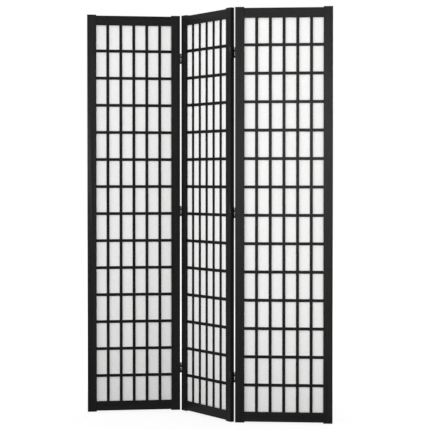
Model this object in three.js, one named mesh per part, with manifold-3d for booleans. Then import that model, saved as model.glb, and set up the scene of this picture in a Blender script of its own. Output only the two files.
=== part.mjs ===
// A shoji folding screen. Three panels stand in a zigzag on the ends of their stiles. Each panel is
// a wooden frame that grips a sheet of white paper between two lattices. Neighbouring panels hang
// on three double-acting hinges, so that a fold can close to the front and to the back.
//
// Millimetres, +Z up, with the viewer at -Y. A panel is built in its own frame: x runs from its left
// edge to its right edge, y from its front face to its back face, and z up from the floor. A hinge is
// built straight, in the frame of its fold: x starts at the right edge of the left-hand panel.

import * as THREE from "three";
import { mergeVertices } from "three/addons/utils/BufferGeometryUtils.js";
import Module from "manifold-3d";

const wasm = await Module();
wasm.setup();

// ---- Sizes ----

// Panel frame
const PANEL_HEIGHT = 1790;
const PANEL_WIDTH = 420;
const STILE_WIDTH = 40;
const STILE_THICKNESS = 19;
const STILE_HORN = 4; // the end of a stile that stands past the rail
const RAIL_HEIGHT = 43;
const RAIL_THICKNESS = 17;
const CHAMFER = 0.8; // on the long corners of stiles and rails
const GROOVE_DEPTH = 6;
const TENON_LENGTH = 26;
const TENON_THICKNESS = 8;
const TENON_HEIGHT = 26;

// Lattices and paper
const COLUMNS = 6;
const ROWS = 14;
const UPRIGHT_WIDTH = 13;
const CROSS_BAR_WIDTH = 13;
const BAR_DEPTH = 4.2;
const PAPER_THICKNESS = 0.6;

// Hinges
const HINGE_HEIGHT = 46;
const HINGE_END_DISTANCE = 194; // from the end of a panel to the middle of its outer hinges
const MIDDLE_HINGE_RISE = 11; // from half the panel's height up to the middle of its middle hinge
const HINGE_MARGIN = 0.5; // from the faces of a panel to the sheets of its hinges
const SHEET_THICKNESS = 1;
const KNUCKLE_GAP = 1; // height between the two knuckles of a pair
const PAIR_GAP = 3; // height between the two pairs of a long barrel
const PIN_RADIUS = 1.1;
const PIN_HEAD_RADIUS = 1.9;
const PIN_HEAD_HEIGHT = 0.6;
const SCREW_SPACING = 28;
const SCREW_HOLE_RADIUS = 1.6;
const COUNTERSINK_RADIUS = 3.2;

// Pose, in degrees, as seen from above
const MIDDLE_PANEL_TURN = -58.5;
const LEFT_FOLD = 67.2; // how far the left fold is closed to the front
const RIGHT_FOLD = 53.2; // how far the right fold is closed to the back

// Between pieces that touch or turn on each other
const CLEARANCE = 0.3;

// Sides of round forms
const BARREL_SIDES = 8;
const PIN_SIDES = 6; // of a pin and of the bores round it
const SCREW_HOLE_SIDES = 6;

// ---- Places that follow from the sizes ----

const MID_PLANE = STILE_THICKNESS / 2;
const OPENING_LEFT = STILE_WIDTH;
const OPENING_RIGHT = PANEL_WIDTH - STILE_WIDTH;
const OPENING_BOTTOM = STILE_HORN + RAIL_HEIGHT;
const OPENING_TOP = PANEL_HEIGHT - OPENING_BOTTOM;

const FILLING_DEPTH = 2 * BAR_DEPTH + PAPER_THICKNESS + 2 * CLEARANCE;
const GROOVE_WIDTH = FILLING_DEPTH + 2 * CLEARANCE;
const FILLING_REACH = GROOVE_DEPTH - CLEARANCE; // how far bars and paper run into the grooves

const BORE_RADIUS = PIN_RADIUS + CLEARANCE;
const BARREL_RADIUS = BORE_RADIUS + SHEET_THICKNESS;
const BARREL_OFFSET = BARREL_RADIUS + CLEARANCE; // from a panel's face to the axis of a pin
const PAIR_HEIGHT = (HINGE_HEIGHT - PAIR_GAP) / 2;
const KNUCKLE_HEIGHT = (PAIR_HEIGHT - KNUCKLE_GAP) / 2;

// Across a straight fold lie the front leaf, the link and the back leaf, each with its clearance.
const SHEET_PITCH = SHEET_THICKNESS + CLEARANCE;
const FRONT_LEAF_X = CLEARANCE;
const LINK_X = FRONT_LEAF_X + SHEET_PITCH;
const BACK_LEAF_X = LINK_X + SHEET_PITCH;
const FOLD_WIDTH = BACK_LEAF_X + SHEET_PITCH;
const FRONT_PIN = new THREE.Vector3(LINK_X - CLEARANCE / 2, -BARREL_OFFSET, 0);
const BACK_PIN = new THREE.Vector3(BACK_LEAF_X - CLEARANCE / 2, STILE_THICKNESS + BARREL_OFFSET, 0);

const HINGE_LEVELS = {
  bottom: HINGE_END_DISTANCE,
  middle: PANEL_HEIGHT / 2 + MIDDLE_HINGE_RISE,
  top: PANEL_HEIGHT - HINGE_END_DISTANCE,
};

// ---- Materials ----

const STAINED_WOOD = { color: 0x2a2827, roughness: 0.55, metalness: 0 };
const WHITE_PAPER = { color: 0xf4f4f2, roughness: 0.9, metalness: 0 };
const DARK_STEEL = { color: 0x3a3a3c, roughness: 0.4, metalness: 0.8 };

// ---- Solids ----

function solidOf(geometry) {
  geometry.deleteAttribute("normal");
  geometry.deleteAttribute("uv");
  const merged = mergeVertices(geometry);
  const mesh = new wasm.Mesh({
    numProp: 3,
    vertProperties: new Float32Array(merged.attributes.position.array),
    triVerts: new Uint32Array(merged.index.array),
  });
  return new wasm.Manifold(mesh);
}

function geometryOf(solid) {
  const mesh = solid.getMesh();
  const geometry = new THREE.BufferGeometry();
  geometry.setAttribute("position", new THREE.BufferAttribute(mesh.vertProperties, 3));
  geometry.setIndex(new THREE.BufferAttribute(mesh.triVerts, 1));
  return geometry;
}

function boxGeometry(x, y, z) {
  const block = new THREE.BoxGeometry(x[1] - x[0], y[1] - y[0], z[1] - z[0]);
  return block.translate((x[0] + x[1]) / 2, (y[0] + y[1]) / 2, (z[0] + z[1]) / 2);
}

function box(x, y, z) {
  return solidOf(boxGeometry(x, y, z));
}

function centred(middle, size) {
  return [middle - size / 2, middle + size / 2];
}

// An outline in plan, raised from one height to another. Only a round outline needs its sides given.
function raised(outline, heights, sides = BARREL_SIDES) {
  const depth = heights[1] - heights[0];
  const options = { depth, bevelEnabled: false, curveSegments: sides / 2 };
  return new THREE.ExtrudeGeometry(outline, options).translate(0, 0, heights[0]);
}

// A rectangle with its four corners cut off.
function chamferedOutline(u, v) {
  return new THREE.Shape([
    new THREE.Vector2(u[0] + CHAMFER, v[0]),
    new THREE.Vector2(u[1] - CHAMFER, v[0]),
    new THREE.Vector2(u[1], v[0] + CHAMFER),
    new THREE.Vector2(u[1], v[1] - CHAMFER),
    new THREE.Vector2(u[1] - CHAMFER, v[1]),
    new THREE.Vector2(u[0] + CHAMFER, v[1]),
    new THREE.Vector2(u[0], v[1] - CHAMFER),
    new THREE.Vector2(u[0], v[0] + CHAMFER),
  ]);
}

// ---- Panel frame ----

// The rail's height, less its groove, carries the tenon in its middle.
function tenonHeights(end) {
  const middle = STILE_HORN + (RAIL_HEIGHT - GROOVE_DEPTH) / 2;
  return centred(end === "bottom" ? middle : PANEL_HEIGHT - middle, TENON_HEIGHT);
}

// A stile is grooved between the rails for the filling, and mortised for the tenon of each rail.
function stile(side) {
  const edges = side === "left" ? [0, OPENING_LEFT] : [OPENING_RIGHT, PANEL_WIDTH];
  const innerEdge = side === "left" ? OPENING_LEFT : OPENING_RIGHT;
  const groove = box(
    centred(innerEdge, 2 * GROOVE_DEPTH),
    centred(MID_PLANE, GROOVE_WIDTH),
    [OPENING_BOTTOM - GROOVE_DEPTH, OPENING_TOP + GROOVE_DEPTH],
  );
  const outline = chamferedOutline(edges, [0, STILE_THICKNESS]);
  let solid = solidOf(raised(outline, [0, PANEL_HEIGHT])).subtract(groove);
  for (const end of ["bottom", "top"]) {
    const [low, high] = tenonHeights(end);
    const mortise = box(
      centred(innerEdge, 2 * (TENON_LENGTH + CLEARANCE)),
      centred(MID_PLANE, TENON_THICKNESS + 2 * CLEARANCE),
      [low - CLEARANCE, high + CLEARANCE],
    );
    solid = solid.subtract(mortise);
  }
  return geometryOf(solid);
}

// A rail is grooved along its inner edge and has a tenon on each end.
function rail(end) {
  const heights = end === "bottom"
    ? [STILE_HORN, OPENING_BOTTOM]
    : [OPENING_TOP, PANEL_HEIGHT - STILE_HORN];
  const innerEdge = end === "bottom" ? OPENING_BOTTOM : OPENING_TOP;
  const length = [OPENING_LEFT + CLEARANCE, OPENING_RIGHT - CLEARANCE];
  const outline = chamferedOutline(centred(MID_PLANE, RAIL_THICKNESS), heights);
  // The outline's two axes become y and z, and its length runs along x.
  const lieDown = new THREE.Matrix4().makeBasis(
    new THREE.Vector3(0, 1, 0),
    new THREE.Vector3(0, 0, 1),
    new THREE.Vector3(1, 0, 0),
  );
  const groove = box(
    [OPENING_LEFT, OPENING_RIGHT],
    centred(MID_PLANE, GROOVE_WIDTH),
    centred(innerEdge, 2 * GROOVE_DEPTH),
  );
  const tenons = box(
    [OPENING_LEFT - TENON_LENGTH, OPENING_RIGHT + TENON_LENGTH],
    centred(MID_PLANE, TENON_THICKNESS),
    tenonHeights(end),
  );
  const bar = solidOf(raised(outline, length).applyMatrix4(lieDown));
  return geometryOf(bar.subtract(groove).add(tenons));
}

// ---- Lattices and paper ----

// The bars are halved into each other where they cross, so both faces of a lattice are flush. Their
// ends run into the grooves of the frame.
function lattice(face) {
  const outward = face === "front" ? -1 : 1;
  const middle = MID_PLANE + outward * (PAPER_THICKNESS / 2 + CLEARANCE + BAR_DEPTH / 2);
  const depth = centred(middle, BAR_DEPTH);
  const columnPitch = (OPENING_RIGHT - OPENING_LEFT + UPRIGHT_WIDTH) / COLUMNS;
  const rowPitch = (OPENING_TOP - OPENING_BOTTOM + CROSS_BAR_WIDTH) / ROWS;
  const fullWidth = [OPENING_LEFT - FILLING_REACH, OPENING_RIGHT + FILLING_REACH];
  const fullHeight = [OPENING_BOTTOM - FILLING_REACH, OPENING_TOP + FILLING_REACH];
  const bars = [];
  for (let column = 1; column < COLUMNS; column += 1) {
    const left = OPENING_LEFT + column * columnPitch - UPRIGHT_WIDTH;
    bars.push(box([left, left + UPRIGHT_WIDTH], depth, fullHeight));
  }
  for (let row = 1; row < ROWS; row += 1) {
    const bottom = OPENING_BOTTOM + row * rowPitch - CROSS_BAR_WIDTH;
    bars.push(box(fullWidth, depth, [bottom, bottom + CROSS_BAR_WIDTH]));
  }
  return geometryOf(bars.reduce((joined, bar) => joined.add(bar)));
}

function paper() {
  return boxGeometry(
    [OPENING_LEFT - FILLING_REACH, OPENING_RIGHT + FILLING_REACH],
    centred(MID_PLANE, PAPER_THICKNESS),
    [OPENING_BOTTOM - FILLING_REACH, OPENING_TOP + FILLING_REACH],
  );
}

// ---- Double-acting hinge ----

// The front leaf is screwed to the left-hand panel, the back leaf to the right-hand panel, and the
// link lies between them. The front barrel joins the front leaf to the link, and the back barrel
// joins the link to the back leaf. Knuckles come in pairs, with the link's below the leaf's. The
// barrel on which a fold is turned in the zigzag is long and has two pairs. The other barrel is
// short and has the upper pair only. So the right fold's hinges are those of the left fold, turned
// half round about the vertical.
const LONG_BARREL = { left: "front", right: "back" };
const UPPER_PAIR_FOOT = HINGE_HEIGHT - PAIR_HEIGHT;

// The lower ends of a barrel's pairs of knuckles, above the foot of the hinge.
function pairFeet(fold, side) {
  return side === LONG_BARREL[fold] ? [0, UPPER_PAIR_FOOT] : [UPPER_PAIR_FOOT];
}

function leafFeet(fold, side) {
  return pairFeet(fold, side).map((foot) => foot + KNUCKLE_HEIGHT + KNUCKLE_GAP);
}

// The flat part of a leaf or link, whose left face is at x.
function sheet(x) {
  const across = [HINGE_MARGIN, STILE_THICKNESS - HINGE_MARGIN];
  return box([x, x + SHEET_THICKNESS], across, [0, HINGE_HEIGHT]);
}

// A knuckle round a pin, with the tongue that runs from it into the sheet whose left face is at x.
function knuckle(pin, x, foot) {
  const heights = [foot, foot + KNUCKLE_HEIGHT];
  const nearEdge = pin.y < 0 ? HINGE_MARGIN : STILE_THICKNESS - HINGE_MARGIN;
  const tongueEnds = [pin.y, nearEdge + Math.sign(nearEdge - pin.y) * SHEET_THICKNESS];
  const tongue = box([x, x + SHEET_THICKNESS], tongueEnds.sort((a, b) => a - b), heights);
  const round = new THREE.Shape().absarc(pin.x, pin.y, BARREL_RADIUS, 0, 2 * Math.PI);
  const bore = new THREE.Shape().absarc(pin.x, pin.y, BORE_RADIUS, 0, 2 * Math.PI);
  const boreHeights = [foot - CLEARANCE, foot + KNUCKLE_HEIGHT + CLEARANCE];
  const outside = solidOf(raised(round, heights, BARREL_SIDES)).add(tongue);
  return outside.subtract(solidOf(raised(bore, boreHeights, PIN_SIDES)));
}

// The countersunk screw holes of a leaf, which narrow towards the wood. wood is -1 where the wood
// lies on the left of the leaf and 1 where it lies on the right.
function drilled(solid, x, wood) {
  const length = SHEET_THICKNESS + 2 * CLEARANCE;
  let result = solid;
  for (const z of centred(HINGE_HEIGHT / 2, SCREW_SPACING)) {
    const hole = new THREE.CylinderGeometry(SCREW_HOLE_RADIUS, COUNTERSINK_RADIUS, length, SCREW_HOLE_SIDES);
    hole.rotateZ((-wood * Math.PI) / 2);
    hole.translate(x + SHEET_THICKNESS / 2, MID_PLANE, z);
    result = result.subtract(solidOf(hole));
  }
  return result;
}

function withKnuckles(solid, pin, x, feet) {
  return feet.reduce((joined, foot) => joined.add(knuckle(pin, x, foot)), solid);
}

function frontLeaf(fold) {
  const feet = leafFeet(fold, "front");
  const solid = withKnuckles(sheet(FRONT_LEAF_X), FRONT_PIN, FRONT_LEAF_X, feet);
  return geometryOf(drilled(solid, FRONT_LEAF_X, -1));
}

function backLeaf(fold) {
  const feet = leafFeet(fold, "back");
  const solid = withKnuckles(sheet(BACK_LEAF_X), BACK_PIN, BACK_LEAF_X, feet);
  return geometryOf(drilled(solid, BACK_LEAF_X, 1));
}

function link(fold) {
  const solid = withKnuckles(sheet(LINK_X), FRONT_PIN, LINK_X, pairFeet(fold, "front"));
  return geometryOf(withKnuckles(solid, BACK_PIN, LINK_X, pairFeet(fold, "back")));
}

// A pin with a flat head at each end of its barrel.
function hingePin(axis, fold, side) {
  const headFoot = HINGE_HEIGHT + CLEARANCE;
  const lowHeadTop = pairFeet(fold, side)[0] - CLEARANCE;
  const profile = [
    [0, lowHeadTop - PIN_HEAD_HEIGHT],
    [PIN_HEAD_RADIUS, lowHeadTop - PIN_HEAD_HEIGHT],
    [PIN_HEAD_RADIUS, lowHeadTop],
    [PIN_RADIUS, lowHeadTop],
    [PIN_RADIUS, headFoot],
    [PIN_HEAD_RADIUS, headFoot],
    [PIN_HEAD_RADIUS, headFoot + PIN_HEAD_HEIGHT],
    [0, headFoot + PIN_HEAD_HEIGHT],
  ].map(([radius, height]) => new THREE.Vector2(radius, height));
  const turned = new THREE.LatheGeometry(profile, PIN_SIDES);
  return turned.rotateX(Math.PI / 2).translate(axis.x, axis.y, 0);
}

// ---- Assembly ----

function piece(name, geometry, material) {
  const mesh = new THREE.Mesh(geometry, new THREE.MeshStandardMaterial(material));
  mesh.name = name;
  return mesh;
}

function panel(name) {
  const group = new THREE.Group();
  group.add(
    piece(`${name}_panel_left_stile`, stile("left"), STAINED_WOOD),
    piece(`${name}_panel_right_stile`, stile("right"), STAINED_WOOD),
    piece(`${name}_panel_top_rail`, rail("top"), STAINED_WOOD),
    piece(`${name}_panel_bottom_rail`, rail("bottom"), STAINED_WOOD),
    piece(`${name}_panel_front_lattice`, lattice("front"), STAINED_WOOD),
    piece(`${name}_panel_back_lattice`, lattice("back"), STAINED_WOOD),
    piece(`${name}_panel_paper`, paper(), WHITE_PAPER),
  );
  return group;
}

// Adds one piece of each of a fold's three hinges to a group. foldX is where the fold starts there.
function addHingePieces(group, fold, pieceName, makeGeometry, foldX) {
  for (const [level, height] of Object.entries(HINGE_LEVELS)) {
    const mesh = piece(`${fold}_${level}_hinge_${pieceName}`, makeGeometry(fold), DARK_STEEL);
    mesh.position.set(foldX, 0, height - HINGE_HEIGHT / 2);
    group.add(mesh);
  }
}

// The link with its two pins, for each hinge of a fold.
function links(fold) {
  const group = new THREE.Group();
  addHingePieces(group, fold, "link", link, 0);
  addHingePieces(group, fold, "front_pin", () => hingePin(FRONT_PIN, fold, "front"), 0);
  addHingePieces(group, fold, "back_pin", () => hingePin(BACK_PIN, fold, "back"), 0);
  return group;
}

// A group that holds what is given and is turned about an upright pin.
function swung(pin, degrees, content) {
  const group = new THREE.Group();
  const angle = THREE.MathUtils.degToRad(degrees);
  const moved = pin.clone().applyAxisAngle(new THREE.Vector3(0, 0, 1), angle);
  group.rotation.z = angle;
  group.position.copy(pin).sub(moved);
  group.add(content);
  return group;
}

const leftPanel = panel("left");
const middlePanel = panel("middle");
const rightPanel = panel("right");

addHingePieces(leftPanel, "left", "front_leaf", frontLeaf, PANEL_WIDTH);
addHingePieces(middlePanel, "left", "back_leaf", backLeaf, -FOLD_WIDTH);
addHingePieces(middlePanel, "right", "front_leaf", frontLeaf, PANEL_WIDTH);
addHingePieces(rightPanel, "right", "back_leaf", backLeaf, -FOLD_WIDTH);

// Both sets of links lie closed against the middle panel. The left panel is turned on its links
// about the front pins, and the right panel about the back pins.
leftPanel.position.x = -PANEL_WIDTH;
const leftLinks = links("left");
leftLinks.add(swung(FRONT_PIN, LEFT_FOLD, leftPanel));
leftLinks.position.x = -FOLD_WIDTH;

rightPanel.position.x = FOLD_WIDTH;
const rightLinks = links("right");
rightLinks.add(swung(BACK_PIN, RIGHT_FOLD, rightPanel));
rightLinks.position.x = PANEL_WIDTH;

middlePanel.add(leftLinks, rightLinks);
middlePanel.rotation.z = THREE.MathUtils.degToRad(MIDDLE_PANEL_TURN);

// The origin is on the floor, under the middle of the screen's bounding box.
const screen = new THREE.Group();
screen.add(middlePanel);
const footprint = new THREE.Box3().setFromObject(screen, true).getCenter(new THREE.Vector3());
screen.position.set(-footprint.x, -footprint.y, 0);

export default screen;
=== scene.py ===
# The looks of a shoji folding screen: three black lattice panels with white paper, hung on
# double-acting hinges. Metres, +Z up, with the viewer at -Y.
#
# The wooden frames are the fixed model's own pieces with a finish. The lattices, the paper and the
# hinges are modelled again here in finer form, each in the place of the piece that it stands for.

import math

import bmesh
import bpy
from mathutils import Matrix, Vector, noise


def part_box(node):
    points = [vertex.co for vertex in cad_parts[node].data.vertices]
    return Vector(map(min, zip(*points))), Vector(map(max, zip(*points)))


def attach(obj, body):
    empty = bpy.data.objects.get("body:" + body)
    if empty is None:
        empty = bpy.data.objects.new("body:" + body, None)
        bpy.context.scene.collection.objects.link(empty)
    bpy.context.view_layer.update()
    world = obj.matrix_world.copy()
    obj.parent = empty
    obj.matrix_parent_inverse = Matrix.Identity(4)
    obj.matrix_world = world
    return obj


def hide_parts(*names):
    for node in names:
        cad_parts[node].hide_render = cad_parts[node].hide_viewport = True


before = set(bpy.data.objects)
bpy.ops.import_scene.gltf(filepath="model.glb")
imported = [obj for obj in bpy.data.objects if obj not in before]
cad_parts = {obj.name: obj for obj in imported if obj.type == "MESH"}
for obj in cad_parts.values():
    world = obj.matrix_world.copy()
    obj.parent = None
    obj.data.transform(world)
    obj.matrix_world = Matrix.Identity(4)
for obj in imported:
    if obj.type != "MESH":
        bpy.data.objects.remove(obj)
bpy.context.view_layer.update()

MM = 0.001

# ---- Sizes that aren't read from the fixed model ----

PANELS = ("left", "middle", "right")
COLUMNS = 6
ROWS = 14
UPRIGHT_WIDTH = 13 * MM
CROSS_BAR_WIDTH = 13 * MM
LAP_GAP = 0.06 * MM  # between two bars that are halved into each other
BAR_EDGE = 0.45 * MM  # rounding of the edges of a bar
BAR_EDGE_ANGLE = math.radians(30)  # edges that bend less stay as they are
FRAME_EDGE = 0.35 * MM  # rounding beside the chamfers of stiles and rails
FRAME_EDGE_ANGLE = math.radians(40)
FRAME_WELD = 0.01 * MM  # corners of the solids that lie closer than this are one corner

PAPER_THICKNESS = 0.3 * MM
PAPER_STEP = 12 * MM  # between the points that shape the paper
PAPER_WAVE = 0.12 * MM  # how far the paper waves out of its plane
PAPER_WAVE_LENGTH = 70 * MM
PAPER_WAVE_GAIN = 1.6  # on the noise, before it is held between -1 and 1
PAPER_SEED_STEP = 10.0  # between the noise of one panel's paper and the next one's

HINGE_LEVELS = ("bottom", "middle", "top")
HINGE_HEIGHT = 46 * MM
CLEARANCE = 0.3 * MM
SHEET_THICKNESS = 1 * MM
SHEET_MARGIN = 0.5 * MM  # from the faces of a panel to the sheets of its hinges
SHEET_CORNER = 2 * MM
SHEET_CORNER_STEPS = 6
SHEET_EDGE = 0.12 * MM
SHEET_EDGE_ANGLE = math.radians(50)
KNUCKLE_GAP = 1 * MM  # between the two knuckles of a pair
PAIR_GAP = 3 * MM  # between the two pairs of a long barrel
PIN_RADIUS = 1.1 * MM
PIN_HEAD_RADIUS = 1.9 * MM
PIN_HEAD_HEIGHT = 0.6 * MM
PIN_HEAD_SHAPE = ((1, 0), (1, 0.4), (0.92, 0.6), (0.6, 0.96), (0, 1))  # shares of its radius and height
SCREW_SPACING = 28 * MM
SCREW_HOLE_RADIUS = 1.6 * MM
COUNTERSINK_RADIUS = 3.2 * MM
SCREW_LAND = 0.3 * MM  # straight stretch of a screw hole below its countersink
SCREW_PLAY = 0.12 * MM
SCREW_EDGE = 0.1 * MM
SCREW_SINK = 0.05 * MM  # how far a screw's head lies below the face of its leaf
SCREW_LENGTH = 12 * MM
SCREW_TAPER = 3 * MM  # from the point of a screw to its full shank
SCREW_TIP = 1 * MM  # from the point to the wide end of its tip
SCREW_TIP_SHARE = 0.3  # radius at that end, as a share of the shank's
RECESS_WIDTH = 0.7 * MM
RECESS_LENGTH = 3.2 * MM
RECESS_DEPTH = 0.6 * MM
CUT_BEYOND = 1 * MM  # how far a cut reaches past the face that it opens
ROUND_STEPS = 32
MERGE_DISTANCE = 0.002 * MM
FLAT_ANGLE = math.radians(0.2)  # faces that bend less than this are joined to one

# Camera
CAMERA_PLACE = (0.03046, -6.95423, 1.05214)
CAMERA_TILT_DOWN = math.radians(1.316)
CAMERA_TURN_RIGHT = math.radians(0.0376)
CAMERA_LENS_MM = 131.807
CAMERA_SENSOR_MM = 36

# ---- Places that follow ----

BORE_RADIUS = PIN_RADIUS + CLEARANCE
COUNTERSINK_DEPTH = SHEET_THICKNESS - SCREW_LAND
BARREL_RADIUS = BORE_RADIUS + SHEET_THICKNESS
BARREL_OFFSET = BARREL_RADIUS + CLEARANCE
PAIR_HEIGHT = (HINGE_HEIGHT - PAIR_GAP) / 2
UPPER_PAIR_FOOT = HINGE_HEIGHT - PAIR_HEIGHT
KNUCKLE_HEIGHT = (PAIR_HEIGHT - KNUCKLE_GAP) / 2
LONG_BARREL = {"left": "front", "right": "back"}  # the barrel with two pairs, in either fold
SHEET_PITCH = SHEET_THICKNESS + CLEARANCE
FRONT_LEAF_X = CLEARANCE
LINK_X = FRONT_LEAF_X + SHEET_PITCH
BACK_LEAF_X = LINK_X + SHEET_PITCH
FOLD_WIDTH = BACK_LEAF_X + SHEET_PITCH


def middle_of(name):
    low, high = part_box(name)
    return (low + high) / 2


def panel_axes(panel):
    """A panel's own frame: x from its left edge, y from its front face to its back, z up."""
    across = middle_of(f"{panel}_panel_right_stile") - middle_of(f"{panel}_panel_left_stile")
    across.z = 0
    across.normalize()
    back = Vector((-across.y, across.x, 0))
    corners = [v.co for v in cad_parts[f"{panel}_panel_left_stile"].data.vertices]
    origin = across * min(c.dot(across) for c in corners) + back * min(c.dot(back) for c in corners)
    return Matrix.Translation(origin) @ Matrix((across, back, (0, 0, 1))).transposed().to_4x4()


def extent(name, axes):
    """Lowest and highest corner of a node of the fixed model, in a panel's own frame."""
    to_panel = axes.inverted()
    places = [to_panel @ v.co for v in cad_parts[name].data.vertices]
    low = Vector([min(p[i] for p in places) for i in range(3)])
    high = Vector([max(p[i] for p in places) for i in range(3)])
    return low, high


AXES = {panel: panel_axes(panel) for panel in PANELS}
LEFT_STILE = extent("middle_panel_left_stile", AXES["middle"])
RIGHT_STILE = extent("middle_panel_right_stile", AXES["middle"])
BOTTOM_RAIL = extent("middle_panel_bottom_rail", AXES["middle"])
TOP_RAIL = extent("middle_panel_top_rail", AXES["middle"])
PANEL_WIDTH = RIGHT_STILE[1].x
PANEL_THICKNESS = LEFT_STILE[1].y
MID_PLANE = PANEL_THICKNESS / 2
OPENING_X = (LEFT_STILE[1].x, RIGHT_STILE[0].x)
OPENING_Z = (BOTTOM_RAIL[1].z, TOP_RAIL[0].z)
PINS = {
    "front": Vector((LINK_X - CLEARANCE / 2, -BARREL_OFFSET, 0)),
    "back": Vector((BACK_LEAF_X - CLEARANCE / 2, PANEL_THICKNESS + BARREL_OFFSET, 0)),
}
LEAF_PLACES = {"front": (FRONT_LEAF_X, -1), "back": (BACK_LEAF_X, 1)}  # its left face, and the wood's side


# ---- Node helpers ----


def new_material(name):
    material = bpy.data.materials.new(name)
    material.use_nodes = True
    tree = material.node_tree
    return material, tree, tree.nodes["Principled BSDF"]


def feed(tree, socket, value):
    """Links another node's output to a socket, or sets the socket to a plain value."""
    if isinstance(value, bpy.types.NodeSocket):
        tree.links.new(value, socket)
    else:
        socket.default_value = value


def node(tree, kind, **inputs):
    """A new node with some of its properties, given as p_NAME, and inputs, given as NAME, set."""
    made = tree.nodes.new(kind)
    for name, value in inputs.items():
        if name.startswith("p_"):
            setattr(made, name[2:], value)
        else:
            feed(tree, made.inputs[name.replace("_", " ")], value)
    return made


def math_node(tree, operation, *values):
    made = node(tree, "ShaderNodeMath", p_operation=operation)
    for socket, value in zip(made.inputs, values):
        feed(tree, socket, value)
    return made.outputs[0]


def ramp(tree, factor, stops, first=(0, 0, 0), last=(1, 1, 1)):
    """A colour ramp that changes from one colour to another between two stops."""
    made = node(tree, "ShaderNodeValToRGB", Fac=factor)
    for element, stop, colour in zip(made.color_ramp.elements, stops, (first, last)):
        element.position = stop
        element.color = (*colour, 1)
    return made.outputs["Color"]


def mixed(tree, factor, first, second, blend="MIX"):
    made = node(tree, "ShaderNodeMix", p_data_type="RGBA", p_blend_type=blend)
    for name, value in (("Factor", factor), ("A", first), ("B", second)):
        socket = next(s for s in made.inputs if s.name == name and s.enabled)
        feed(tree, socket, (*value, 1) if isinstance(value, tuple) else value)
    return next(s for s in made.outputs if s.enabled)


def pattern(tree, place, scale, detail, roughness=0.55, stretch=(1, 1, 1)):
    """Noise from 0 to 1, with scale in waves per metre and a stretch along each axis."""
    stretched = node(tree, "ShaderNodeMapping", Vector=place, Scale=stretch)
    made = node(
        tree,
        "ShaderNodeTexNoise",
        Vector=stretched.outputs["Vector"],
        Scale=scale,
        Detail=detail,
        Roughness=roughness,
    )
    return made.outputs["Fac"]


def add_bump(tree, shader, height, strength, distance):
    bump = node(tree, "ShaderNodeBump", Strength=strength, Distance=distance, Height=height)
    tree.links.new(bump.outputs["Normal"], shader.inputs["Normal"])


def vary_roughness(tree, shader, variation, share, base):
    """Roughness from a base value and a share of a variation."""
    rough = math_node(tree, "MULTIPLY_ADD", variation, share, base)
    tree.links.new(rough, shader.inputs["Roughness"])


# ---- Materials ----


def panel_place(tree, turn, shift):
    """Object coordinates turned into a panel's own directions, shifted so that panels differ."""
    coordinates = tree.nodes.new("ShaderNodeTexCoord")
    turned = node(
        tree,
        "ShaderNodeVectorRotate",
        p_rotation_type="Z_AXIS",
        Vector=coordinates.outputs["Object"],
        Angle=-turn,
    )
    shifted = node(tree, "ShaderNodeVectorMath", p_operation="ADD", Vector=turned.outputs["Vector"])
    shifted.inputs[1].default_value = (shift, shift, shift)
    return shifted.outputs["Vector"]


STAIN_DARK = (0.0092, 0.0090, 0.0088)
STAIN_LIGHT = (0.0182, 0.0178, 0.0174)
STAIN_PORE = (0.0050, 0.0048, 0.0046)
STAIN_STOPS = (0.36, 0.64)  # of the grain, where the stain is fully dark and fully light
PORE_STOPS = (0.60, 0.68)
PORE_DEPTH = 0.5  # as a share of the height of the streaks
GRAIN_STRETCH = 0.018  # how much slower the grain changes along a piece than across it
GRAIN_SHIFT = 3.0  # metres between the places in the grain of one panel and the next
LATTICE_SHIFT = 1.0  # and from a panel's frame to its front lattice
BACK_SHIFT = 0.5  # and from its front lattice to its back one
LACQUER_ROUGHNESS = 0.23
LACQUER_STREAKS = 0.16  # what the streaks add to the roughness
LACQUER_SPECULAR = 0.04
FRAME_TONE = 1.0
BAR_TONE = 0.72


def stained_wood(name, grain_axis, turn, shift, tone):
    """Black-stained wood with a thin satin lacquer; its grain runs along one axis of a panel."""
    material, tree, shader = new_material(name)
    place = panel_place(tree, turn, shift)
    stretch = [1, 1, 1]
    stretch["xyz".index(grain_axis)] = GRAIN_STRETCH
    bands = pattern(tree, place, scale=60, detail=2, stretch=stretch)
    streaks = pattern(tree, place, scale=420, detail=4, roughness=0.6, stretch=stretch)
    pores = pattern(tree, place, scale=1500, detail=1, stretch=stretch)
    grain = math_node(tree, "MULTIPLY", math_node(tree, "ADD", bands, streaks), 1 / 2)
    stain = ramp(tree, grain, STAIN_STOPS, STAIN_DARK, STAIN_LIGHT)
    pore_mask = ramp(tree, pores, PORE_STOPS)
    colour = mixed(tree, pore_mask, stain, STAIN_PORE)
    toned = mixed(tree, 1.0, colour, (tone, tone, tone), blend="MULTIPLY")
    tree.links.new(toned, shader.inputs["Base Color"])
    vary_roughness(tree, shader, streaks, LACQUER_STREAKS, LACQUER_ROUGHNESS)
    height = math_node(tree, "SUBTRACT", streaks, math_node(tree, "MULTIPLY", pore_mask, PORE_DEPTH))
    add_bump(tree, shader, height, strength=0.35, distance=0.1 * MM)
    shader.inputs["Specular IOR Level"].default_value = LACQUER_SPECULAR
    return material


PAPER_WHITE = (0.90, 0.90, 0.895)
PAPER_SHADE = (0.865, 0.865, 0.857)
PAPER_FIBRE = (0.94, 0.94, 0.935)
PULP_STOPS = (0.35, 0.60)
FIBRE_LEANS = (0.35, 1.15, 1.9, 2.75)  # radians between the four sets of fibres and the upright
FIBRE_STRETCH = 0.06
FIBRE_STOPS = (0.66, 0.72)
FIBRE_COVER = 0.4  # how much of the pulp's colour a fibre covers
FIBRE_HEIGHT = 0.6  # as a share of the height of the pulp
PAPER_SHIFT_STEP = 5.0  # metres between the places in the paper of one panel and the next


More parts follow.
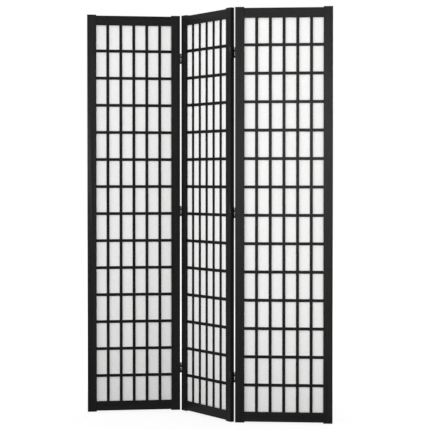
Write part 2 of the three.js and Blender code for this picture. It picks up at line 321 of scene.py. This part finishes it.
def fibre_lines(tree, place, lean):
    """A mask of one set of fibres."""
    leaning = node(tree, "ShaderNodeVectorRotate", p_rotation_type="Y_AXIS", Vector=place, Angle=lean)
    along = leaning.outputs["Vector"]
    strands = pattern(tree, along, scale=420, detail=1.5, roughness=0.4, stretch=(1, 1, FIBRE_STRETCH))
    return ramp(tree, strands, FIBRE_STOPS)


def fibre_paper(name, turn, shift):
    """White fibre paper: cloudy pulp with fine crossed fibres."""
    material, tree, shader = new_material(name)
    place = panel_place(tree, turn, shift)
    pulp = pattern(tree, place, scale=90, detail=5, roughness=0.65)
    flat = ramp(tree, pulp, PULP_STOPS, PAPER_SHADE, PAPER_WHITE)
    fibres, *others = [fibre_lines(tree, place, lean) for lean in FIBRE_LEANS]
    for lines in others:
        fibres = math_node(tree, "MAXIMUM", fibres, lines)
    colour = mixed(tree, math_node(tree, "MULTIPLY", fibres, FIBRE_COVER), flat, PAPER_FIBRE)
    tree.links.new(colour, shader.inputs["Base Color"])
    height = math_node(tree, "ADD", pulp, math_node(tree, "MULTIPLY", fibres, FIBRE_HEIGHT))
    add_bump(tree, shader, height, strength=0.25, distance=0.08 * MM)
    shader.inputs["Roughness"].default_value = 0.9
    shader.inputs["Specular IOR Level"].default_value = 0.2
    return material


WEAR_STOPS = (0.38, 0.66)  # of the wear, where the metal is fully dark and fully light
SCRATCH_STRETCH = 0.05
SCRATCH_ROUGHNESS = 0.2  # what the scratches add to the roughness


def steel(name, dark, light, roughness, metallic):
    """Metal with fine rubbed scratches that run up and down."""
    material, tree, shader = new_material(name)
    place = panel_place(tree, turn=0, shift=0)
    scratches = pattern(tree, place, scale=2600, detail=3, stretch=(1, 1, SCRATCH_STRETCH))
    wear = pattern(tree, place, scale=420, detail=5, roughness=0.7)
    tree.links.new(ramp(tree, wear, WEAR_STOPS, dark, light), shader.inputs["Base Color"])
    vary_roughness(tree, shader, scratches, SCRATCH_ROUGHNESS, roughness)
    add_bump(tree, shader, scratches, strength=0.3, distance=0.03 * MM)
    shader.inputs["Metallic"].default_value = metallic
    return material


def turn_of(panel):
    return AXES[panel].to_euler().z


HINGE_STEEL = steel(
    "hinge_steel",
    dark=(0.017, 0.017, 0.0175),
    light=(0.038, 0.038, 0.039),
    roughness=0.24,
    metallic=0.85,
)
PIN_STEEL = steel(
    "pin_steel",
    dark=(0.10, 0.10, 0.10),
    light=(0.28, 0.28, 0.28),
    roughness=0.22,
    metallic=0.95,
)
SCREW_STEEL = steel(
    "screw_steel",
    dark=(0.035, 0.035, 0.036),
    light=(0.12, 0.12, 0.12),
    roughness=0.25,
    metallic=0.9,
)

# ---- Mesh helpers ----


def finish_mesh(bm, name):
    bmesh.ops.recalc_face_normals(bm, faces=bm.faces)
    for face in bm.faces:
        face.smooth = True
    mesh = bpy.data.meshes.new(name)
    bm.to_mesh(mesh)
    bm.free()
    return mesh


def place_piece(name, mesh, axes, material, body, replaced=()):
    """A new piece whose mesh is a copy of the given one, put at its place and riding on its body."""
    placed = mesh.copy()
    placed.transform(axes)
    placed.materials.clear()
    placed.materials.append(material)
    piece = bpy.data.objects.new(name, placed)
    bpy.context.scene.collection.objects.link(piece)
    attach(piece, body)
    if replaced:
        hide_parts(*replaced)
    return piece


def add_bevel(piece, width, angle, segments=2):
    bevel = piece.modifiers.new("edges", "BEVEL")
    bevel.width = width
    bevel.segments = segments
    bevel.limit_method = "ANGLE"
    bevel.angle_limit = angle
    bevel.harden_normals = True
    bevel.use_clamp_overlap = True


def prism(bm, outline, low, high, to_place=lambda *place: place):
    """A closed prism over an outline; to_place turns an outline's point and a height into a place."""
    rings = [[bm.verts.new(to_place(*point, height)) for point in outline] for height in (low, high)]
    bm.faces.new(rings[0])
    bm.faces.new(reversed(rings[1]))
    for i in range(len(outline)):
        j = (i + 1) % len(outline)
        bm.faces.new((rings[0][i], rings[0][j], rings[1][j], rings[1][i]))


def circle(radius):
    angles = [2 * math.pi * i / ROUND_STEPS for i in range(ROUND_STEPS)]
    return [(radius * math.cos(a), radius * math.sin(a)) for a in angles]


def turned_mesh(name, profile):
    """A solid of revolution about z; the profile's first and last points lie on the axis."""
    bm = bmesh.new()
    tip = bm.verts.new((0, 0, profile[0][1]))
    end = bm.verts.new((0, 0, profile[-1][1]))
    rings = []
    for radius, height in profile[1:-1]:
        rings.append([bm.verts.new((x, y, height)) for x, y in circle(radius)])
    for i in range(ROUND_STEPS):
        j = (i + 1) % ROUND_STEPS
        bm.faces.new((tip, rings[0][i], rings[0][j]))
        bm.faces.new((end, rings[-1][i], rings[-1][j]))
        for lower, upper in zip(rings, rings[1:]):
            bm.faces.new((lower[i], lower[j], upper[j], upper[i]))
    return finish_mesh(bm, name)


def join_flat_faces(mesh):
    """Merges close points and joins the coplanar faces that a boolean leaves."""
    bm = bmesh.new()
    bm.from_mesh(mesh)
    bmesh.ops.remove_doubles(bm, verts=bm.verts, dist=MERGE_DISTANCE)
    bmesh.ops.dissolve_limit(bm, angle_limit=FLAT_ANGLE, verts=bm.verts, edges=bm.edges)
    for face in bm.faces:
        face.smooth = True
    bm.to_mesh(mesh)
    bm.free()


def combined_mesh(name, base, joins=(), cuts=()):
    """The mesh of one solid joined with some and cut by others. The given meshes are used up."""
    base_object = bpy.data.objects.new(name, base)
    bpy.context.scene.collection.objects.link(base_object)
    tools = []
    for operation, meshes in (("UNION", joins), ("DIFFERENCE", cuts)):
        for mesh in meshes:
            tool = bpy.data.objects.new("tool", mesh)
            bpy.context.scene.collection.objects.link(tool)
            tools.append(tool)
            modifier = base_object.modifiers.new("combine", "BOOLEAN")
            modifier.operation = operation
            modifier.solver = "EXACT"
            modifier.object = tool
    graph = bpy.context.evaluated_depsgraph_get()
    result = bpy.data.meshes.new_from_object(base_object.evaluated_get(graph))
    result.name = name
    for used in [base_object, *tools]:
        mesh = used.data
        bpy.data.objects.remove(used)
        bpy.data.meshes.remove(mesh)
    join_flat_faces(result)
    return result


# ---- Wooden frames ----


def finish_frame(panel):
    """The stiles and rails keep their solids, with softened edges and grain along each piece."""
    turn = turn_of(panel)
    shift = GRAIN_SHIFT * PANELS.index(panel)
    upright = stained_wood(f"{panel}_stile_wood", "z", turn, shift, FRAME_TONE)
    level = stained_wood(f"{panel}_rail_wood", "x", turn, shift, FRAME_TONE)
    for part in ("left_stile", "right_stile", "top_rail", "bottom_rail"):
        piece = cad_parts[f"{panel}_panel_{part}"]
        piece.data.materials.clear()
        piece.data.materials.append(upright if part.endswith("stile") else level)
        weld = piece.modifiers.new("joined_corners", "WELD")
        weld.merge_threshold = FRAME_WELD
        add_bevel(piece, FRAME_EDGE, FRAME_EDGE_ANGLE)


# ---- Lattices ----


def bar_starts(opening, count, width):
    """Where the bars that part an opening into equal cells start."""
    pitch = (opening[1] - opening[0] + width) / count
    return [opening[0] + i * pitch - width for i in range(1, count)]


def notched_outline(length, notches, plain, cut, notch_floor):
    """Side view of a bar: one edge is plain, the other has a notch for each bar that crosses it."""
    outline = [(length[0], plain), (length[1], plain), (length[1], cut)]
    for start, end in reversed(notches):
        outline += [(end, cut), (end, notch_floor), (start, notch_floor), (start, cut)]
    outline.append((length[0], cut))
    return outline


def lattice(panel, face):
    """Five uprights and thirteen cross bars, halved into each other. The uprights run on top."""
    node_name = f"{panel}_panel_{face}_lattice"
    low, high = extent(node_name, AXES[panel])
    outer, inner = (low.y, high.y) if face == "front" else (high.y, low.y)
    middle = (outer + inner) / 2
    gap = math.copysign(LAP_GAP / 2, inner - outer)
    columns = bar_starts(OPENING_X, COLUMNS, UPRIGHT_WIDTH)
    rows = bar_starts(OPENING_Z, ROWS, CROSS_BAR_WIDTH)
    crossing_rows = [(z - LAP_GAP, z + CROSS_BAR_WIDTH + LAP_GAP) for z in rows]
    crossing_columns = [(x - LAP_GAP, x + UPRIGHT_WIDTH + LAP_GAP) for x in columns]

    uprights = bmesh.new()
    outline = notched_outline((low.z, high.z), crossing_rows, outer, inner, middle - gap)
    for x in columns:
        prism(uprights, outline, x, x + UPRIGHT_WIDTH, lambda z, y, across: (across, y, z))
    cross_bars = bmesh.new()
    outline = notched_outline((low.x, high.x), crossing_columns, inner, outer, middle + gap)
    for z in rows:
        prism(cross_bars, outline, z, z + CROSS_BAR_WIDTH)

    shift = LATTICE_SHIFT + GRAIN_SHIFT * PANELS.index(panel)
    if face == "back":
        shift += BACK_SHIFT
    for part, bm, axis in (("uprights", uprights, "z"), ("cross_bars", cross_bars, "x")):
        name = f"{panel}_panel_{face}_{part}"
        wood = stained_wood(f"{name}_wood", axis, turn_of(panel), shift, BAR_TONE)
        mesh = finish_mesh(bm, name)
        piece = place_piece(name, mesh, AXES[panel], wood, f"{panel}_panel", [node_name])
        add_bevel(piece, BAR_EDGE, BAR_EDGE_ANGLE)


# ---- Paper ----


def paper(panel):
    """A thin sheet that waves a little between the lattices that grip it."""
    low, high = extent(f"{panel}_panel_paper", AXES[panel])
    columns = round((high.x - low.x) / PAPER_STEP)
    rows = round((high.z - low.z) / PAPER_STEP)
    seed = PAPER_SEED_STEP * PANELS.index(panel)
    bm = bmesh.new()
    points = []
    for row in range(rows + 1):
        z = low.z + (high.z - low.z) * row / rows
        line = []
        for column in range(columns + 1):
            x = low.x + (high.x - low.x) * column / columns
            wave = noise.noise(Vector((x / PAPER_WAVE_LENGTH, z / PAPER_WAVE_LENGTH, seed)))
            y = MID_PLANE + PAPER_WAVE * max(-1, min(1, PAPER_WAVE_GAIN * wave))
            line.append(bm.verts.new((x, y, z)))
        points.append(line)
    for lower, upper in zip(points, points[1:]):
        for i in range(columns):
            bm.faces.new((lower[i], lower[i + 1], upper[i + 1], upper[i]))
    name = f"{panel}_panel_paper_sheet"
    mesh = finish_mesh(bm, name)
    white = fibre_paper(f"{panel}_paper", turn_of(panel), PAPER_SHIFT_STEP * PANELS.index(panel))
    replaced = [f"{panel}_panel_paper"]
    piece = place_piece(name, mesh, AXES[panel], white, f"{panel}_panel", replaced)
    solid = piece.modifiers.new("thickness", "SOLIDIFY")
    solid.thickness = PAPER_THICKNESS
    solid.offset = 0


# ---- Hinges ----


def box_mesh(x, y, z):
    bm = bmesh.new()
    outline = [(x[0], y[0]), (x[1], y[0]), (x[1], y[1]), (x[0], y[1])]
    prism(bm, outline, z[0], z[1])
    return finish_mesh(bm, "box")


def cylinder_mesh(centre, radius, z):
    bm = bmesh.new()
    prism(bm, [(centre.x + x, centre.y + y) for x, y in circle(radius)], z[0], z[1])
    return finish_mesh(bm, "cylinder")


def sheet_mesh(x):
    """The flat part of a leaf or link, with rounded corners, whose left face is at x."""
    bm = bmesh.new()
    low = Vector((SHEET_MARGIN, 0))
    high = Vector((PANEL_THICKNESS - SHEET_MARGIN, HINGE_HEIGHT))
    corners = ((high.x, high.y), (low.x, high.y), (low.x, low.y), (high.x, low.y))
    inward = ((-1, -1), (1, -1), (1, 1), (-1, 1))
    outline = []
    for quarter in range(4):
        centre = Vector(corners[quarter]) + SHEET_CORNER * Vector(inward[quarter])
        for i in range(SHEET_CORNER_STEPS + 1):
            angle = math.pi / 2 * (quarter + i / SHEET_CORNER_STEPS)
            outline.append(centre + SHEET_CORNER * Vector((math.cos(angle), math.sin(angle))))
    prism(bm, outline, x, x + SHEET_THICKNESS, lambda y, z, across: (across, y, z))
    return finish_mesh(bm, "sheet")


def pair_feet(fold, side):
    """Lower ends of the pairs of knuckles on a barrel, above the foot of the hinge."""
    return (0, UPPER_PAIR_FOOT) if side == LONG_BARREL[fold] else (UPPER_PAIR_FOOT,)


def knuckles(pin, x, feet):
    """The solids of knuckles, each an eye with a tongue that runs into the sheet at x, and their bores."""
    near_edge = SHEET_MARGIN if pin.y < 0 else PANEL_THICKNESS - SHEET_MARGIN
    inward = 1 if pin.y < 0 else -1
    reach = near_edge + inward * (SHEET_CORNER + SHEET_THICKNESS)
    solids = []
    bores = []
    for foot in feet:
        heights = (foot, foot + KNUCKLE_HEIGHT)
        solids.append(cylinder_mesh(pin, BARREL_RADIUS, heights))
        solids.append(box_mesh((x, x + SHEET_THICKNESS), sorted((pin.y, reach)), heights))
        bores.append(cylinder_mesh(pin, BORE_RADIUS, (heights[0] - CLEARANCE, heights[1] + CLEARANCE)))
    return solids, bores


def screw_axes(x, wood_side):
    """Frames at the screws of a leaf: z points out of the wood, from the leaf's open face."""
    face_x = x if wood_side > 0 else x + SHEET_THICKNESS
    turn = Matrix.Rotation(-wood_side * math.pi / 2, 4, "Y")
    heights = [(HINGE_HEIGHT + spread) / 2 for spread in (-SCREW_SPACING, SCREW_SPACING)]
    return [Matrix.Translation((face_x, MID_PLANE, z)) @ turn for z in heights]


def countersink_radius(height):
    """Radius of a screw hole's countersink, at a height above the face of the leaf."""
    slope = (COUNTERSINK_RADIUS - SCREW_HOLE_RADIUS) / COUNTERSINK_DEPTH
    return COUNTERSINK_RADIUS + slope * height


def countersinks(x, wood_side):
    """The cutters for the screw holes of a leaf."""
    bottom = -SHEET_THICKNESS - CUT_BEYOND
    profile = [
        (0, bottom),
        (SCREW_HOLE_RADIUS, bottom),
        (SCREW_HOLE_RADIUS, -COUNTERSINK_DEPTH),
        (countersink_radius(CLEARANCE), CLEARANCE),
        (0, CLEARANCE),
    ]
    holes = []
    for axes in screw_axes(x, wood_side):
        hole = turned_mesh("hole", profile)
        hole.transform(axes)
        holes.append(hole)
    return holes


def leaf_mesh(fold, side):
    """A leaf: its knuckles sit above those of the link."""
    x, wood_side = LEAF_PLACES[side]
    feet = [foot + KNUCKLE_HEIGHT + KNUCKLE_GAP for foot in pair_feet(fold, side)]
    solids, bores = knuckles(PINS[side], x, feet)
    return combined_mesh(f"{fold}_{side}_leaf", sheet_mesh(x), solids, bores + countersinks(x, wood_side))


def link_mesh(fold):
    """A link: the sheet between two leaves, with knuckles on both barrels."""
    solids = []
    bores = []
    for side, pin in PINS.items():
        more_solids, more_bores = knuckles(pin, LINK_X, pair_feet(fold, side))
        solids += more_solids
        bores += more_bores
    return combined_mesh(f"{fold}_link", sheet_mesh(LINK_X), solids, bores)


def pin_mesh(fold, side):
    """A pin with domed heads at both ends of its barrel."""
    low = pair_feet(fold, side)[0] - CLEARANCE
    high = HINGE_HEIGHT + CLEARANCE
    head = [(radius * PIN_HEAD_RADIUS, height * PIN_HEAD_HEIGHT) for radius, height in PIN_HEAD_SHAPE]
    lower_head = [(radius, low - height) for radius, height in reversed(head)]
    upper_head = [(radius, high + height) for radius, height in head]
    shank = [(PIN_RADIUS, low), (PIN_RADIUS, high)]
    return turned_mesh(f"{fold}_{side}_pin", lower_head + shank + upper_head)


def screw_mesh():
    """A countersunk screw with a cross recess; z points out of its head."""
    top = -SCREW_SINK
    head = countersink_radius(top - SCREW_EDGE) - SCREW_PLAY
    shank = SCREW_HOLE_RADIUS - SCREW_PLAY
    body = turned_mesh("screw", [
        (0, -SCREW_LENGTH),
        (SCREW_TIP_SHARE * shank, -SCREW_LENGTH + SCREW_TIP),
        (shank, -SCREW_LENGTH + SCREW_TAPER),
        (shank, -COUNTERSINK_DEPTH),
        (head, top - SCREW_EDGE),
        (head - SCREW_EDGE, top),
        (0, top),
    ])
    length = (-RECESS_LENGTH / 2, RECESS_LENGTH / 2)
    width = (-RECESS_WIDTH / 2, RECESS_WIDTH / 2)
    depth = (top - RECESS_DEPTH, top + CUT_BEYOND)
    slots = [box_mesh(length, width, depth), box_mesh(width, length, depth)]
    return combined_mesh("hinge_screw", body, cuts=slots)


def add_leaf(name, mesh, screw, side, panel, axes):
    leaf = place_piece(f"{name}_plate", mesh, axes, HINGE_STEEL, f"{panel}_panel", [name])
    add_bevel(leaf, SHEET_EDGE, SHEET_EDGE_ANGLE, segments=1)
    for end, place in zip(("lower", "upper"), screw_axes(*LEAF_PLACES[side])):
        screw_name = f"{name}_{end}_screw"
        place_piece(screw_name, screw, axes @ place, SCREW_STEEL, f"{panel}_panel")


def add_hinges(fold, left_hand, right_hand, screw):
    """A fold's double-acting hinges. At rest their links lie along the edge of the middle panel."""
    front_leaf = leaf_mesh(fold, "front")
    back_leaf = leaf_mesh(fold, "back")
    link = link_mesh(fold)
    pins = {side: pin_mesh(fold, side) for side in PINS}
    for level in HINGE_LEVELS:
        hinge = f"{fold}_{level}_hinge"
        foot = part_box(f"{hinge}_link")[0].z
        past_edge = AXES[left_hand] @ Matrix.Translation((PANEL_WIDTH, 0, foot))
        before_edge = AXES[right_hand] @ Matrix.Translation((-FOLD_WIDTH, 0, foot))
        add_leaf(f"{hinge}_front_leaf", front_leaf, screw, "front", left_hand, past_edge)
        add_leaf(f"{hinge}_back_leaf", back_leaf, screw, "back", right_hand, before_edge)
        closed = past_edge if left_hand == "middle" else before_edge
        name = f"{hinge}_link"
        plate = place_piece(f"{name}_plate", link, closed, HINGE_STEEL, f"{fold}_links", [name])
        add_bevel(plate, SHEET_EDGE, SHEET_EDGE_ANGLE, segments=1)
        for side, pin in PINS.items():
            name = f"{hinge}_{side}_pin"
            axes = closed @ Matrix.Translation(pin)
            place_piece(f"{name}_round", pins[side], axes, PIN_STEEL, f"{fold}_links", [name])


# ---- Studio ----


def by_ray(tree, plain_shader, seen_shader):
    """One shader for what camera, glossy and transmission rays see, and another for all other light."""
    path = tree.nodes.new("ShaderNodeLightPath")
    mirror = math_node(tree, "MAXIMUM", path.outputs["Is Glossy Ray"], path.outputs["Is Transmission Ray"])
    seen = math_node(tree, "MAXIMUM", path.outputs["Is Camera Ray"], mirror)
    made = tree.nodes.new("ShaderNodeMixShader")
    for socket, source in zip(made.inputs, (seen, plain_shader, seen_shader)):
        tree.links.new(source, socket)
    return made.outputs[0]


SKY_STRENGTH = 0.55
FLOOR_SIZE = 40
FLOOR_NEAR = 0.55  # radius up to which the floor sends little light back up on the screen, as painted shade below it
FLOOR_FAR = 1.5  # radius from which it sends back all that it will
FLOOR_PAINTED_SHADE_GREY = 0.03  # what it sends back up there: a dark grey that paints the screen's shade on the floor
FLOOR_FAR_GREY = 0.8
FLOOR_SEEN_GREY = 0.25  # of the floor as it is seen, on top of its own brightness
FLOOR_NEAR_LIFT = 0.82  # that brightness
FLOOR_FAR_LIFT = 1.0
LAMP_AIM = (0, 0, 0.9)


def by_distance(tree, near_value, far_value):
    """A value that changes with the distance from the middle of the floor."""
    place = tree.nodes.new("ShaderNodeTexCoord")
    distance = node(tree, "ShaderNodeVectorMath", p_operation="LENGTH", Vector=place.outputs["Object"])
    spread = node(
        tree,
        "ShaderNodeMapRange",
        p_interpolation_type="SMOOTHSTEP",
        Value=distance.outputs["Value"],
        From_Min=FLOOR_NEAR,
        From_Max=FLOOR_FAR,
        To_Min=near_value,
        To_Max=far_value,
    )
    return spread.outputs["Result"]


def sky():
    """A white sky that is seen brighter than it shines."""
    world = bpy.data.worlds.new("studio")
    world.use_nodes = True
    bpy.context.scene.world = world
    tree = world.node_tree
    tree.nodes.clear()
    plain = node(tree, "ShaderNodeBackground", Color=(1, 1, 1, 1), Strength=SKY_STRENGTH)
    white = node(tree, "ShaderNodeBackground", Color=(1, 1, 1, 1), Strength=1.0)
    surface = by_ray(tree, plain.outputs[0], white.outputs[0])
    output = tree.nodes.new("ShaderNodeOutputWorld")
    tree.links.new(surface, output.inputs["Surface"])


def floor_material():
    """A floor that is seen as white with a soft shadow; to other light it is painted dark below the
    screen, as painted shade of the screen's own shadow there.
    """
    material = bpy.data.materials.new("floor")
    material.use_nodes = True
    tree = material.node_tree
    tree.nodes.clear()
    # Painted shade: near the screen the floor's bounce is dark grey, standing in for the screen's shadow
    # on it
    painted_shade_bounce = node(tree, "ShaderNodeBsdfDiffuse", Color=by_distance(tree, FLOOR_PAINTED_SHADE_GREY, FLOOR_FAR_GREY))
    seen_grey = (FLOOR_SEEN_GREY, FLOOR_SEEN_GREY, FLOOR_SEEN_GREY, 1)
    pale = node(tree, "ShaderNodeBsdfDiffuse", Color=seen_grey)
    lift = node(tree, "ShaderNodeEmission", Strength=by_distance(tree, FLOOR_NEAR_LIFT, FLOOR_FAR_LIFT))
    lifted = tree.nodes.new("ShaderNodeAddShader")
    tree.links.new(pale.outputs[0], lifted.inputs[0])
    tree.links.new(lift.outputs[0], lifted.inputs[1])
    surface = by_ray(tree, painted_shade_bounce.outputs[0], lifted.outputs[0])
    output = tree.nodes.new("ShaderNodeOutputMaterial")
    tree.links.new(surface, output.inputs["Surface"])
    return material


def floor():
    bm = bmesh.new()
    bmesh.ops.create_grid(bm, x_segments=1, y_segments=1, size=FLOOR_SIZE / 2)
    mesh = bpy.data.meshes.new("floor")
    bm.to_mesh(mesh)
    bm.free()
    plane = bpy.data.objects.new("floor", mesh)
    bpy.context.scene.collection.objects.link(plane)
    mesh.materials.append(floor_material())


def soft_box(name, place, size, watts):
    data = bpy.data.lights.new(name, "AREA")
    data.shape = "RECTANGLE"
    data.size, data.size_y = size
    data.energy = watts
    lamp = bpy.data.objects.new(name, data)
    bpy.context.scene.collection.objects.link(lamp)
    lamp.location = place
    lamp.rotation_euler = (Vector(LAMP_AIM) - Vector(place)).to_track_quat("-Z", "Y").to_euler()
    lamp.visible_camera = False


def lamps():
    soft_box("front", place=(-0.3, -7.0, 1.45), size=(1.0, 1.0), watts=172)
    soft_box("side", place=(-4.6, -2.2, 1.9), size=(3.0, 2.5), watts=82)
    soft_box("back", place=(1.6, 5.6, 2.6), size=(2.5, 2.0), watts=120)


def camera():
    data = bpy.data.cameras.new("camera")
    data.sensor_width = CAMERA_SENSOR_MM
    data.lens = CAMERA_LENS_MM
    viewer = bpy.data.objects.new("camera", data)
    bpy.context.scene.collection.objects.link(viewer)
    viewer.location = CAMERA_PLACE
    viewer.rotation_euler = (math.pi / 2 - CAMERA_TILT_DOWN, 0, -CAMERA_TURN_RIGHT)
    bpy.context.scene.camera = viewer
    bpy.context.scene.view_settings.view_transform = "Standard"


camera()
for panel in PANELS:
    finish_frame(panel)
    lattice(panel, "front")
    lattice(panel, "back")
    paper(panel)
hinge_screw = screw_mesh()
add_hinges("left", "left", "middle", hinge_screw)
add_hinges("right", "middle", "right", hinge_screw)
sky()
floor()
lamps()
